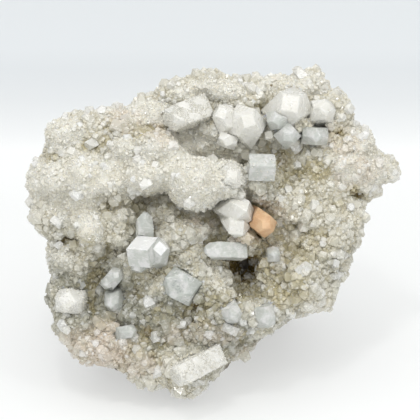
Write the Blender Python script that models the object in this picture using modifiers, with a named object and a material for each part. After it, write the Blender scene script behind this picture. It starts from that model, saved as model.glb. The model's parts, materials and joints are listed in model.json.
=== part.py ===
"""Apophyllite cluster: clear and milky crystals on a rock plate with a sugary drusy crust.

The specimen is laid out in its own face frame and then leaned back on its base:
  u runs to the right across the crystal face, v up the face, w out of the face.
All places and sizes below are real sizes in millimetres, and mm() turns them into metres.
"""

import math
import random
from collections import namedtuple

import bmesh
import bpy
from mathutils import Matrix, Vector
from mathutils.bvhtree import BVHTree

# Driving dimensions
LEAN_DEG = 28.0  # how far the crystal face leans back from upright
BASE_DROP = 10.6  # height of the face frame's origin above the floor
SOCKET_GAP = 0.3  # clearance between a crystal's root and its socket
MERGE = 0.0005  # points closer than this are one
FUSE_CELL = 1.6  # cell of the remesh that fuses the crust's growths
CRUST_FACES = 4900  # triangles of the crust before crystals are grown into it

# Angle between an apophyllite crystal's long axis and the normals of its pointed end
PYRAMID_TILT = math.radians(60.3)

# The outline of the face, walked clockwise from its lowest point
OUTLINE = (
    (-8, -1), (-14, 1.5), (-29, 5.5), (-37, 8), (-45, 13), (-51, 20), (-54, 26), (-54.5, 38),
    (-55, 49), (-58, 57), (-61, 66), (-62, 73), (-58, 80), (-56.5, 91), (-50, 94.5), (-34, 97),
    (-22.5, 101), (-11, 106.5), (-1.5, 109), (5, 107.5), (18, 106.5), (33, 109), (38, 105), (44, 99),
    (47, 93), (54, 90), (55, 82), (60, 80), (61.5, 76), (57, 70), (53, 64), (50.5, 56),
    (45, 49), (44, 42), (41, 33), (34, 28.5), (26, 26), (16, 17.5), (8, 11), (-1.5, 2),
)

# The plate's cross-sections from front to back: depth w, size against the outline, middle u, v
SECTIONS = (
    (-9, 0.80, 0, 52), (-12, 0.92, 0, 52), (-18, 0.98, 0, 52), (-30, 0.93, 0, 51),
    (-50, 0.80, 3, 44), (-74, 0.64, 5, 34),
)

# Flat breaks that shape the hidden back: a point of each break and its outward direction
BREAKS = (
    ((0, 70, -60), (0.05, 0.42, -1.0)),
    ((-40, 60, -40), (-0.85, 0.10, -0.62)),
    ((44, 60, -42), (0.80, 0.22, -0.66)),
    ((8, 100, -34), (0.10, 0.85, -0.60)),
    ((-30, 22, -56), (-0.75, -0.35, -0.50)),
    ((34, 24, -46), (0.78, -0.50, -0.42)),
    ((-12, 40, -68), (-0.22, -0.05, -1.0)),
)

# Rounded growths of the crust: centre u, v, w and radii
ROLL = (
    (-52.5, 72.5, -6, 6, 7, 12), (-43.5, 73, -5, 7.8, 8.6, 13.5), (-35, 73, -5, 6.6, 7.4, 12.5),
    (-47, 78, -7, 7, 5, 9), (-29.6, 83, -5, 4.8, 4.4, 12), (-18, 82.5, -2, 7.4, 6.2, 12.5),
    (-26, 78.5, -4, 6, 5, 9), (-22.2, 73.5, 0, 7, 6, 12.5), (-12.6, 75.5, -1, 5.8, 6.8, 11.5),
    (-5.7, 71.3, 3, 9.2, 8.9, 14), (-44, 64.5, -7, 7.5, 4.5, 10), (5, 72.5, 2, 6.2, 7, 11),
    (-31, 69.5, -4, 5, 5, 9),
)
LEFT_LOBES = (
    (-58.5, 72.5, -11, 4.5, 8, 8), (-54.5, 61, -8, 6.5, 7, 8), (-49, 58.5, -5, 5, 6, 7),
    (-41.5, 56, 0, 5.5, 6.5, 7), (-50.5, 46, -8, 5.5, 6, 8), (-46, 43, -5, 4, 4, 6),
    (-50, 34, -9, 5, 7, 8), (-47, 24, -6, 6.5, 6, 8), (-42, 17, -8, 6, 6, 8),
)
TOP_LOBES = (
    (-50.5, 87.5, -9, 6.5, 6.5, 9), (-42.5, 90.5, -12, 7, 5.5, 8), (-33, 93.5, -14, 8, 4.5, 8),
    (-27, 91, -9, 5.5, 5.5, 7), (-21, 96.5, -13, 7, 5, 8), (-11, 101, -14, 8, 5.5, 9),
    (-1.5, 105, -13, 6, 5.2, 8), (6, 102, -9, 8, 5, 8), (14, 102, -11, 7, 5, 8),
    (8, 90, -6, 9, 7, 10), (27, 92, -8, 9, 8, 9),
    (22, 104, -15, 8, 5, 8), (33, 104.6, -13, 7, 6, 9), (42, 95.5, -11, 5, 7, 9),
    (-38, 86, -9, 6, 5, 8),
)
RIGHT_LOBES = (
    (50, 86, -13, 5.5, 5.5, 8), (45, 77, -9, 9, 6.5, 9), (53, 76, -12, 7, 6, 7),
    (59, 76.5, -13, 4.4, 4.6, 6), (46, 70.5, -10, 8, 5, 8), (36, 73.5, -8, 7, 7, 8),
    (46.5, 61, -11, 5.5, 6.5, 7), (47, 54, -14, 4.5, 5, 6), (40, 54, -9, 5.5, 7, 8),
    (36, 62, -7, 6, 6, 7), (42, 43, -13, 4.5, 5, 6), (36.5, 46, -9, 6, 7, 8),
    (30.5, 38.5, -4, 4.5, 7.5, 8), (36, 34, -11, 5.5, 5.5, 7), (26, 65, -7, 7, 6, 8),
    (17, 72, -3, 6, 6, 8), (27, 75, -8, 7, 6, 7), (40, 82, -9, 6, 4, 7),
)
CENTRE_LOBES = (
    (-10, 55, -2, 7.5, 3.8, 6), (-15, 51, -5, 5, 4, 6), (-31.5, 56.5, -5, 5.5, 7, 7),
    (10, 53, 0, 3.8, 2.8, 5), (-13, 36, -3.5, 10, 8, 9), (-1, 33, -4, 8, 6, 8),
    (5, 27.5, -2, 8, 5, 8), (15, 26.5, -4, 8, 6, 9), (23, 32, -7, 6, 6, 8),
    (-7, 47, -5, 6, 4, 8), (0, 40, -6, 6, 5, 7), (20, 42, -7, 5, 6, 7),
    (-22, 44, -3, 6, 5, 8), (-30, 41, -6, 6, 6, 9), (-33, 32, -7, 5, 6, 8),
)
LOWER_LOBES = (
    (-16, 24, -4, 7, 5.5, 8), (-2, 20, -3, 10, 4.5, 7), (-7, 9.5, -3, 9, 5, 8), (-8.5, 3.6, -9, 5.5, 4.4, 8),
    (-24, 15.5, -5, 7, 6, 8), (-33.5, 17, -5, 6, 6, 8), (-26, 28, -6, 7, 5, 8),
    (-20, 7.5, -9, 8, 5, 8), (-36, 23, -7, 6, 5, 8), (-14, 15, -6, 6, 4, 8),
)

# Low lumps strewn over the whole face between the named growths
LUMP_COUNT = 90
LUMP_RADIUS = (3.0, 5.6)
LUMP_DEPTH = (-11.5, -6.5)
LUMP_SEED = 7

# Hollows of the crust: centre u, v, w and radii
HOLLOWS = (
    (10.5, 45, -4, 3.4, 3.2, 12), (12.5, 41, -2, 1.8, 3.0, 8), (16, 53.6, -2, 2.4, 2.4, 8),
    (49, 67.8, -6, 2.7, 1.8, 8), (43.2, 88.5, -9, 2.2, 1.6, 7), (29, 49.5, -3, 4.4, 3.2, 7),
    (-48.5, 52.3, -5, 3.0, 1.8, 7), (-21, 64.6, -1, 10, 2.4, 7), (-6, 60, 0, 9, 2.2, 7),
    (-34, 35, 0, 4.5, 5.5, 5), (-17.5, 26, 0, 1.6, 5, 5), (28, 75, -1, 6.5, 4.5, 5),
)

# One crystal: where its end stands, the way it points, its roll about that way in degrees,
# half its width and depth, its length, and how far its pyramid would rise above its flat end
Crystal = namedtuple("Crystal", "end way roll half length rise")

CRYSTALS = {
    "crystals_left_clear": (
        Crystal((-23.2, 51.5, 8), (-0.13, 0.88, 0.46), -18, (3.9, 4.6), 6.6, 10.6),
        Crystal((-17.2, 49.7, 8.5), (0.25, 0.22, 0.94), 4, (3.6, 4.5), 16, 3.2),
        Crystal((-25.0, 43.2, 7.5), (-0.20, -0.30, 0.93), 30, (2.7, 2.3), 13, 1.8),
    ),
    "crystal_front_frosted": (
        Crystal((-11.2, 37.3, 7.8), (-0.14, 0.05, 0.98), -30, (5.5, 4.7), 15, 6.0),
    ),
    "crystal_centre_white": (
        Crystal((11.4, 61.9, 11.6), (0.30, -0.05, 0.95), 50, (4.3, 5.0), 18, 0.4),
        Crystal((8.2, 56.6, 7.4), (0.05, -0.25, 0.97), 40, (3.3, 3.9), 14, 4.0),
    ),
    "crystal_flat_glassy": (
        Crystal((-2.5, 49.2, 6.0), (-0.90, 0.05, 0.43), 12, (2.3, 2.7), 15, 1.6),
    ),
    "crystals_top_milky": (
        Crystal((3.2, 94.8, 6), (-0.22, 0.30, 0.93), 20, (3.6, 4.4), 16, 3.0),
        Crystal((12.2, 92.2, 8), (0.12, 0.15, 0.98), -31, (6.0, 5.4), 19, 3.5),
        Crystal((5.2, 85.3, 6), (0.00, -0.10, 0.99), -20, (3.2, 2.3), 13, 2.2),
    ),
    "crystals_upper_right_milky": (
        Crystal((26.2, 98.2, 4.5), (0.05, 0.20, 0.97), 36, (7.2, 5.6), 20, 5.0),
        Crystal((38.3, 96.6, 2.0), (0.20, 0.15, 0.96), -3, (3.9, 3.6), 15, 3.0),
    ),
    "crystals_upper_right_clear": (
        Crystal((21.5, 92.4, 5.5), (-0.10, -0.10, 0.98), 15, (3.4, 3.1), 14, 2.0),
        Crystal((25.4, 86.9, 6.0), (0.02, -0.10, 0.99), 42, (3.5, 3.3), 15, 2.5),
    ),
    "crystal_upper_right_square": (
        Crystal((35.0, 86.9, 3.0), (0.05, -0.10, 0.99), -3, (4.4, 2.9), 13, 2.2),
    ),
    "crystal_right_pale": (
        Crystal((16.8, 79.3, 6.5), (0.05, 0.80, 0.60), 0, (4.4, 3.5), 6.5, 9.0),
    ),
    "crystal_roll_end": (
        Crystal((6.6, 73.8, 12.5), (0.15, 0.12, 0.98), 38, (4.0, 4.2), 18, 3.0),
    ),
    "crystal_upper_left_coated": (
        Crystal((-14.3, 92.6, 3.5), (-0.80, -0.28, 0.52), 30, (3.7, 3.9), 15, 5.0),
    ),
    "crystal_bottom_silky": (
        Crystal((-12.1, 6.8, 6.0), (-0.80, -0.40, 0.45), 20, (3.6, 3.5), 18, 5.5),
    ),
    "crystal_upright_clear": (
        Crystal((-22.4, 61.6, 5.0), (0.03, 0.86, 0.51), 12, (2.6, 2.4), 11, 1.2),
    ),
    "crystals_lower_left_clear": (
        Crystal((-32.0, 40.8, 5.5), (0.20, 0.20, 0.95), 50, (3.1, 2.5), 13, 1.6),
        Crystal((-35.2, 37.8, 4.5), (-0.10, -0.10, 0.98), 20, (2.1, 1.7), 12, 1.0),
    ),
    "crystal_lower_left_blue": (
        Crystal((-33.9, 30.8, 3.5), (-0.15, -0.25, 0.95), 10, (2.6, 3.1), 12, 1.8),
    ),
    "crystal_left_milky": (
        Crystal((-48.5, 32.2, 2.5), (-0.12, 0.10, 0.98), -8, (4.6, 4.1), 13, 4.0),
    ),
    "crystal_lower_glassy": (
        Crystal((-26.6, 22.1, 6.0), (0.40, 0.10, 0.90), 10, (3.0, 2.2), 12, 1.4),
    ),
    "crystal_right_blue": (
        Crystal((20.8, 48.0, 4.5), (0.05, 0.10, 0.99), 4, (2.1, 2.5), 12, 1.4),
    ),
    "crystal_low_right_white": (
        Crystal((7.2, 26.8, 8.5), (0.10, -0.20, 0.97), 30, (3.2, 2.8), 14, 1.8),
    ),
    "crystal_low_right_grey": (
        Crystal((18.2, 26.4, 6.0), (0.10, -0.10, 0.99), 8, (3.3, 3.6), 14, 3.0),
    ),
}

# The crystals clouded white, or coated with fine sugar, instead of clear
MILKY = (
    "crystal_centre_white", "crystals_top_milky", "crystals_upper_right_milky",
    "crystal_right_pale", "crystal_roll_end", "crystal_upper_left_coated",
    "crystal_bottom_silky", "crystal_left_milky",
)

# The one peach stilbite crystal
STILBITE = Crystal((18.0, 57.6, 8.0), (0.20, -0.10, 0.97), -38, (4.2, 3.4), 15, 2.4)

# Small crystals grown into the crust: those the face shows one by one, by their middle,
# roll, half width and half depth, and how many more are strewn between them
SMALL_PLACED = (
    ((-29.8, 90.7), 15, 2.0, 1.7), ((-2.9, 83.2), -48, 2.7, 1.4), ((14.6, 69.9), 25, 1.8, 1.5),
    ((28, 60.8), 10, 2.2, 1.6), ((-48, 45), 30, 2.4, 2.0), ((13.6, 48.4), -25, 2.6, 1.5),
    ((7, 19.5), 20, 2.0, 1.0), ((3, 34.5), 40, 1.9, 1.7), ((-17.5, 27.5), 12, 2.0, 1.8),
    ((-38.5, 50.5), 5, 2.0, 1.6), ((31, 31.5), 30, 2.2, 2.0), ((-29.5, 17), 0, 2.6, 2.0),
    ((40.5, 60.5), 20, 2.1, 1.9), ((-11, 19), 45, 2.0, 1.6), ((27.5, 43.5), 30, 2.0, 1.7),
    ((38, 51), 0, 2.2, 1.8), ((30, 69.5), 40, 2.0, 1.8), ((-3, 26.5), 20, 2.2, 1.7),
)
SMALL_COUNT = 46
SMALL_SIZE = (1.1, 1.9)
SMALL_SEED = 11
SMALL_LEAN = 0.5  # how far a small crystal leans away from the surface's own direction

CRUST_COLOUR = (0.76, 0.74, 0.67, 1)
CLEAR_COLOUR = (0.84, 0.87, 0.87, 1)
MILKY_COLOUR = (0.88, 0.87, 0.84, 1)
STILBITE_COLOUR = (0.83, 0.55, 0.34, 1)


def mm(*values):
    """Millimetres as metres: one number, or several as a Vector."""
    if len(values) == 1:
        return values[0] / 1000
    return Vector([value / 1000 for value in values])


def clear_scene():
    for obj in list(bpy.data.objects):
        bpy.data.objects.remove(obj, do_unlink=True)


def make_collection(name):
    collection = bpy.data.collections.new(name)
    bpy.context.scene.collection.children.link(collection)
    return collection


def make_material(name, colour, roughness):
    material = bpy.data.materials.new(name)
    material.use_nodes = True
    shader = material.node_tree.nodes["Principled BSDF"]
    shader.inputs["Base Color"].default_value = colour
    shader.inputs["Roughness"].default_value = roughness
    shader.inputs["Metallic"].default_value = 0
    return material


def drop_chips(obj):
    """Removes whatever the sockets cut loose and keeps the one large solid."""
    bm = bmesh.new()
    bm.from_mesh(obj.data)
    islands = []
    left = set(bm.verts)
    while left:
        island = {left.pop()}
        edge_of_island = list(island)
        while edge_of_island:
            vertex = edge_of_island.pop()
            for edge in vertex.link_edges:
                other = edge.other_vert(vertex)
                if other not in island:
                    island.add(other)
                    edge_of_island.append(other)
        left -= island
        islands.append(island)
    islands.sort(key=len)
    for island in islands[:-1]:
        bmesh.ops.delete(bm, geom=list(island), context="VERTS")
    bm.to_mesh(obj.data)
    bm.free()


def dress(obj, material):
    obj.data.materials.clear()
    obj.data.materials.append(material)


def object_of(bm, name, collection):
    """A new object that holds this bmesh, which is freed."""
    mesh = bpy.data.meshes.new(name)
    bm.to_mesh(mesh)
    bm.free()
    obj = bpy.data.objects.new(name, mesh)
    collection.objects.link(obj)
    return obj


def bake_modifiers(obj):
    """Replaces the object's mesh by what its modifiers make of it."""
    graph = bpy.context.evaluated_depsgraph_get()
    baked = bpy.data.meshes.new_from_object(obj.evaluated_get(graph))
    obj.modifiers.clear()
    obj.data = baked


def cut_flat(bm, point, outward):
    """Cuts away what lies beyond a plane and closes the cut."""
    everything = bm.verts[:] + bm.edges[:] + bm.faces[:]
    cut = bmesh.ops.bisect_plane(
        bm, geom=everything, dist=mm(MERGE), plane_co=point, plane_no=outward, clear_outer=True
    )
    rim = [item for item in cut["geom_cut"] if isinstance(item, bmesh.types.BMEdge)]
    bmesh.ops.holes_fill(bm, edges=rim, sides=0)


def plate():
    """The rock plate: the outline carried back through its sections, then broken flat behind."""
    bm = bmesh.new()
    ring = [bm.verts.new(mm(u, v, 0)) for u, v in OUTLINE]
    face = bm.faces.new(ring)
    bmesh.ops.translate(bm, verts=ring, vec=mm(0, -SECTIONS[0][3], 0))
    front = face
    last_size = 1
    last_place = mm(0, 0, 0)
    for depth, size, middle_u, middle_v in SECTIONS:
        if last_size != 1:
            made = bmesh.ops.extrude_face_region(bm, geom=[face])["geom"]
            if face is not front:
                bmesh.ops.delete(bm, geom=[face], context="FACES_ONLY")
            face = next(item for item in made if isinstance(item, bmesh.types.BMFace))
        place = mm(middle_u, middle_v, depth)
        steady = Matrix.Translation(-last_place)
        ratio = size / last_size
        bmesh.ops.scale(bm, verts=face.verts, vec=(ratio, ratio, 1), space=steady)
        bmesh.ops.translate(bm, verts=face.verts, vec=place - last_place)
        last_size, last_place = size, place
    bmesh.ops.recalc_face_normals(bm, faces=bm.faces)
    for point, outward in BREAKS:
        cut_flat(bm, mm(*point), Vector(outward).normalized())
    return bm


def add_ellipsoid(bm, row, subdivisions):
    u, v, w, radius_u, radius_v, radius_w = row
    place = Matrix.Translation(mm(u, v, w)) @ Matrix.Diagonal((*mm(radius_u, radius_v, radius_w), 1))
    bmesh.ops.create_icosphere(bm, subdivisions=subdivisions, radius=1, matrix=place)


def crystal_frame(crystal):
    """The matrix that takes a crystal modelled upright, its end at the origin, to its place."""
    turn = Vector((0, 0, 1)).rotation_difference(Vector(crystal.way)).to_matrix().to_4x4()
    roll = Matrix.Rotation(math.radians(crystal.roll), 4, "Z")
    return Matrix.Translation(mm(*crystal.end)) @ turn @ roll


def add_crystal(bm, crystal, gap=0):
    """A tetragonal prism whose four upper corners are cut by its pyramid faces."""
    width, depth = (mm(half + gap) * 2 for half in crystal.half)
    length = mm(crystal.length + 2 * gap)
    one = bmesh.new()
    block = Matrix.Translation((0, 0, mm(gap) - length / 2)) @ Matrix.Diagonal((width, depth, length, 1))
    bmesh.ops.create_cube(one, size=1, matrix=block)
    sideways = math.sin(PYRAMID_TILT) / math.sqrt(2)
    upwards = math.cos(PYRAMID_TILT)
    for side_x in (-1, 1):
        for side_y in (-1, 1):
            outward = Vector((side_x * sideways, side_y * sideways, upwards))
            cut_flat(one, Vector((0, 0, mm(crystal.rise))) + outward * mm(gap), outward)
    mesh = bpy.data.meshes.new("crystal")
    one.to_mesh(mesh)
    one.free()
    mesh.transform(crystal_frame(crystal))
    bm.from_mesh(mesh)
    bpy.data.meshes.remove(mesh)


def crystal_solid(name, crystals, collection, gap=0):
    """One crystal, or several that have grown together, as one solid."""
    node = None
    for crystal in crystals:
        bm = bmesh.new()
        add_crystal(bm, crystal, gap)
        one = object_of(bm, name, collection)
        if node is None:
            node = one
        else:
            boolean(node, one, "UNION")
            bpy.data.objects.remove(one)
    return node


def boolean(obj, other, operation, use_self=False):
    """Joins or cuts obj by other at once."""
    modifier = obj.modifiers.new(operation.title(), "BOOLEAN")
    modifier.operation = operation
    modifier.solver = "EXACT"
    modifier.use_self = use_self
    modifier.object = other
    bake_modifiers(obj)


def overlaps(obj, other):
    """True where two objects' surfaces cross."""
    graph = bpy.context.evaluated_depsgraph_get()
    trees = [BVHTree.FromObject(each, graph) for each in (obj, other)]
    return bool(trees[0].overlap(trees[1]))


def near_crystal(place, reach):
    """True within reach of a named crystal, all along its length as the face shows it."""
    named = [crystal for group in CRYSTALS.values() for crystal in group] + [STILBITE]
    for crystal in named:
        end = Vector(crystal.end[:2])
        root = end - Vector(crystal.way[:2]) / Vector(crystal.way).length * crystal.length
        along = root - end
        share = (Vector(place) - end).dot(along) / max(along.length_squared, 1e-6)
        nearest = end + along * min(max(share, 0), 0.8)
        if (Vector(place) - nearest).length < max(crystal.half) + reach:
            return True
    return False


def inside_outline(u, v):
    """True where a point of the face lies within the outline."""
    inside = False
    for (u1, v1), (u2, v2) in zip(OUTLINE, OUTLINE[1:] + OUTLINE[:1]):
        if (v1 > v) != (v2 > v) and u < u1 + (v - v1) * (u2 - u1) / (v2 - v1):
            inside = not inside
    return inside


def on_roll(place):
    """True on the big drusy roll, whose sugar is too fine to hold small crystals."""
    return any(
        ((place[0] - u) / radius_u) ** 2 + ((place[1] - v) / radius_v) ** 2 < 1
        for u, v, _, radius_u, radius_v, _ in ROLL
    )


def random_place(chance):
    us, vs = zip(*OUTLINE)
    return chance.uniform(min(us), max(us)), chance.uniform(min(vs), max(vs))


def add_lumps(bm):
    """Low lumps all over the face, kept inside its outline."""
    chance = random.Random(LUMP_SEED)
    left = LUMP_COUNT
    while left:
        u, v = random_place(chance)
        radius = chance.uniform(*LUMP_RADIUS)
        depth = chance.uniform(*LUMP_DEPTH)
        reach = radius * 0.6
        rim = [(reach, 0), (-reach, 0), (0, reach), (0, -reach)]
        if all(inside_outline(u + du, v + dv) for du, dv in rim):
            add_ellipsoid(bm, (u, v, depth, radius, radius * 0.85, radius * 1.2), 2)
            left -= 1


def small_crystals(rock):
    """Small crystals standing out of the crust wherever it is neither sugar nor taken."""
    chance = random.Random(SMALL_SEED)
    surface = BVHTree.FromObject(rock, bpy.context.evaluated_depsgraph_get())
    rows = list(SMALL_PLACED)
    taken = [place for place, *_ in rows]
    while len(rows) < len(SMALL_PLACED) + SMALL_COUNT:
        place = random_place(chance)
        half = chance.uniform(*SMALL_SIZE)
        crowded = any((Vector(place) - Vector(other)).length < 4.2 for other in taken)
        if crowded or on_roll(place) or near_crystal(place, 1.5 * half):
            continue
        taken.append(place)
        rows.append((place, chance.uniform(0, 90), half, half * 0.85))
    bm = bmesh.new()
    for place, roll, half, half_depth in rows:
        lean = Vector([chance.uniform(-1, 1) for _ in range(3)]) * SMALL_LEAN
        hit, normal, _, _ = surface.ray_cast(mm(*place, 60), Vector((0, 0, -1)))
        if hit is None or normal.z < 0.3:
            continue
        way = (normal + lean + Vector((0, 0, 0.5))).normalized()
        end = hit * 1000 + way * half
        shape = Crystal(tuple(end), tuple(way), roll, (half, half_depth), half * 3.5, half * 0.6)
        add_crystal(bm, shape)
    return bm


def fuse(obj):
    """Fuses the object's overlapping shells into one skin."""
    remesh = obj.modifiers.new("Fuse", "REMESH")
    remesh.mode = "VOXEL"
    remesh.voxel_size = mm(FUSE_CELL)
    bake_modifiers(obj)


def crust(collection, helpers):
    """The rock plate and all the rounded growths on it, with the hollows between them."""
    bm = plate()
    for row in ROLL + LEFT_LOBES + TOP_LOBES + RIGHT_LOBES + CENTRE_LOBES + LOWER_LOBES:
        add_ellipsoid(bm, row, 3)
    add_lumps(bm)
    rock = object_of(bm, "matrix", collection)
    fuse(rock)
    bm = bmesh.new()
    for row in HOLLOWS:
        add_ellipsoid(bm, row, 2)
    boolean(rock, object_of(bm, "hollows", helpers), "DIFFERENCE", use_self=True)
    fuse(rock)
    fewer = rock.modifiers.new("Fewer", "DECIMATE")
    fewer.ratio = CRUST_FACES / (2 * len(rock.data.polygons))
    bake_modifiers(rock)
    bm = bmesh.new()
    bm.from_mesh(rock.data)
    downward = Vector((0, -math.cos(math.radians(LEAN_DEG)), -math.sin(math.radians(LEAN_DEG))))
    cut_flat(bm, downward * mm(BASE_DROP), downward)
    bm.to_mesh(rock.data)
    bm.free()
    return rock


def grow_crystals(rock, collection, helpers):
    """The named crystals, each in its own socket and clear of its neighbours by the gap."""
    nodes = []
    sockets = []
    for name, crystals in list(CRYSTALS.items()) + [("stilbite_peach", (STILBITE,))]:
        node = crystal_solid(name, crystals, collection)
        for socket in sockets:
            if overlaps(node, socket):
                boolean(node, socket, "DIFFERENCE")
        socket = crystal_solid(name + "_socket", crystals, helpers, SOCKET_GAP)
        boolean(rock, socket, "DIFFERENCE")
        nodes.append(node)
        sockets.append(socket)
    return nodes


def stand_up(nodes, collection):
    """Leans the face back, sets the base on the floor and centres the whole over the origin."""
    pose = bpy.data.objects.new("display_pose", None)
    collection.objects.link(pose)
    pose.rotation_euler = (math.radians(90 - LEAN_DEG), 0, 0)
    pose.location = (0, 0, mm(BASE_DROP))
    for node in nodes:
        node.parent = pose
    bpy.context.view_layer.update()
    corners = [node.matrix_world @ vertex.co for node in nodes for vertex in node.data.vertices]
    for axis in (0, 1):
        side = [corner[axis] for corner in corners]
        pose.location[axis] -= (min(side) + max(side)) / 2


def main():
    clear_scene()
    collection = make_collection("apophyllite_cluster")
    helpers = make_collection("helpers")
    rock = crust(collection, helpers)
    growth = object_of(small_crystals(rock), "small_crystals", helpers)
    boolean(rock, growth, "UNION", use_self=True)
    nodes = grow_crystals(rock, collection, helpers)
    drop_chips(rock)
    dress(rock, make_material("drusy_crust", CRUST_COLOUR, 0.55))
    clear = make_material("apophyllite_clear", CLEAR_COLOUR, 0.1)
    milky = make_material("apophyllite_milky", MILKY_COLOUR, 0.4)
    for node in nodes:
        dress(node, milky if node.name in MILKY else clear)
    dress(nodes[-1], make_material("stilbite", STILBITE_COLOUR, 0.35))
    for helper in helpers.objects:
        helper.hide_render = True
        helper.display_type = "WIRE"
    stand_up([rock] + nodes, collection)


main()
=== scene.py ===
"""Looks of the apophyllite cluster: drusy crust, clear and milky crystals, one peach stilbite.

The crystal face leans back. Its own frame is used for all places below: u runs to the right
across the face, v up the face and w out of it, in millimetres.
"""

import math
import json

import bpy
import numpy as np
from bpy.props import FloatProperty, FloatVectorProperty, PointerProperty
from mathutils import Matrix, Vector
from mathutils.bvhtree import BVHTree

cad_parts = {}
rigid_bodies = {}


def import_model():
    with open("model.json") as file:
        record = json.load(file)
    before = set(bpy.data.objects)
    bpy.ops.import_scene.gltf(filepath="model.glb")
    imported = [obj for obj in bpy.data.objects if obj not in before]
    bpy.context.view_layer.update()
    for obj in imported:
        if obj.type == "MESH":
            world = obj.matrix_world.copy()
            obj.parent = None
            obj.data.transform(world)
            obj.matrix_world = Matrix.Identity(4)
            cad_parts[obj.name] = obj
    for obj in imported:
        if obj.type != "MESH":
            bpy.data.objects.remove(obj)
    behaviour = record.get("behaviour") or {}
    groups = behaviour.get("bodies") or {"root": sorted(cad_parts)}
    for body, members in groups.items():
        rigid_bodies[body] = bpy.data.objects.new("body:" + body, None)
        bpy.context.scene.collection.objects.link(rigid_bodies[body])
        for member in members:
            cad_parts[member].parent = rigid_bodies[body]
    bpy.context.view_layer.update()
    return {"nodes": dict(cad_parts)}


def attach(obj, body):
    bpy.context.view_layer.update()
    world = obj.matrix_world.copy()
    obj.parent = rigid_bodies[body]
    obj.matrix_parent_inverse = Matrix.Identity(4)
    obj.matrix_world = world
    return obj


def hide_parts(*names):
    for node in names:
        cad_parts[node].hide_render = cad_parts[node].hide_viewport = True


bl_info = {
    "name": "Apophyllite cluster",
    "version": (1, 0, 0),
    "blender": (4, 5, 0),
    "location": "3D View > Sidebar > Apophyllite",
    "description": "Grows the crust, sugar and crystals of the apophyllite cluster on its solids",
    "category": "Object",
}

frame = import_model()

MM = 0.001
LEAN = math.radians(28)
# Index of refraction of apophyllite, used for every crystal and grain
CRYSTAL_IOR = 1.54
FACE_ORIGIN = Vector((-0.10, -41.14, 10.6)) * MM
FACE_TO_WORLD = Matrix.Translation(FACE_ORIGIN) @ Matrix.Rotation(math.pi / 2 - LEAN, 4, "X")
WORLD_TO_FACE = FACE_TO_WORLD.inverted()

CLEAR = (
    "crystals_left_clear", "crystal_front_frosted", "crystal_flat_glassy",
    "crystals_upper_right_clear", "crystal_upper_right_square", "crystal_upright_clear",
    "crystals_lower_left_clear", "crystal_lower_left_blue", "crystal_lower_glassy",
    "crystal_right_blue", "crystal_low_right_white", "crystal_low_right_grey", "crystal_right_pale",
)
MILKY = (
    "crystal_centre_white", "crystals_top_milky", "crystals_upper_right_milky",
    "crystal_roll_end", "crystal_upper_left_coated",
    "crystal_bottom_silky", "crystal_left_milky",
)
# Crystals whose upward faces are painted white: a painted highlight of the light from above
LIT_WHITE_TOPS = ("crystals_left_clear", "crystal_low_right_white")
# Crystals with a coat of sugar, and the spacing of its grains in millimetres
COATED = (
    ("crystal_roll_end", 0.8), ("crystal_upper_left_coated", 0.5), ("crystal_bottom_silky", 0.7),
    ("crystal_left_milky", 1.1), ("crystals_top_milky", 2.4),
    ("crystal_right_pale", 1.6), ("crystals_upper_right_milky", 2.6))

# The big roll of fine sugar: middle u, v and radii of its lumps
ROLL = (
    (-50, 70, 9, 10), (-42, 73, 10, 10), (-30, 82, 6, 6), (-18, 80, 8, 7), (-24, 73, 9, 8), (-13, 73, 8, 8),
    (-5, 70, 10, 10), (4, 74, 8, 8), (-50.5, 87.5, 7, 7),
)

# Other places with the same fine white sugar: middle u, v and radii
SUGARY = ROLL + (
    (-59.5, 72.5, 4.5, 9), (-50.5, 88.4, 8, 7), (-41.7, 55.3, 5.5, 6), (-46, 62, 9, 6), (50, 76, 13, 6.5),
    (30, 105.5, 15, 4.5), (-31, 97, 10, 4), (52, 88, 6, 6), (-33.6, 17.6, 4, 3.5), (-52, 45, 6, 6),
    (-5, 85, 10, 6), (-20, 96, 13, 4.5), (0, 103, 14, 4),
)

# Middle of the grey core of the crystal seen end-on
FROSTED_CORE = Vector((-11.4, 37.2, 8.0))

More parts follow.
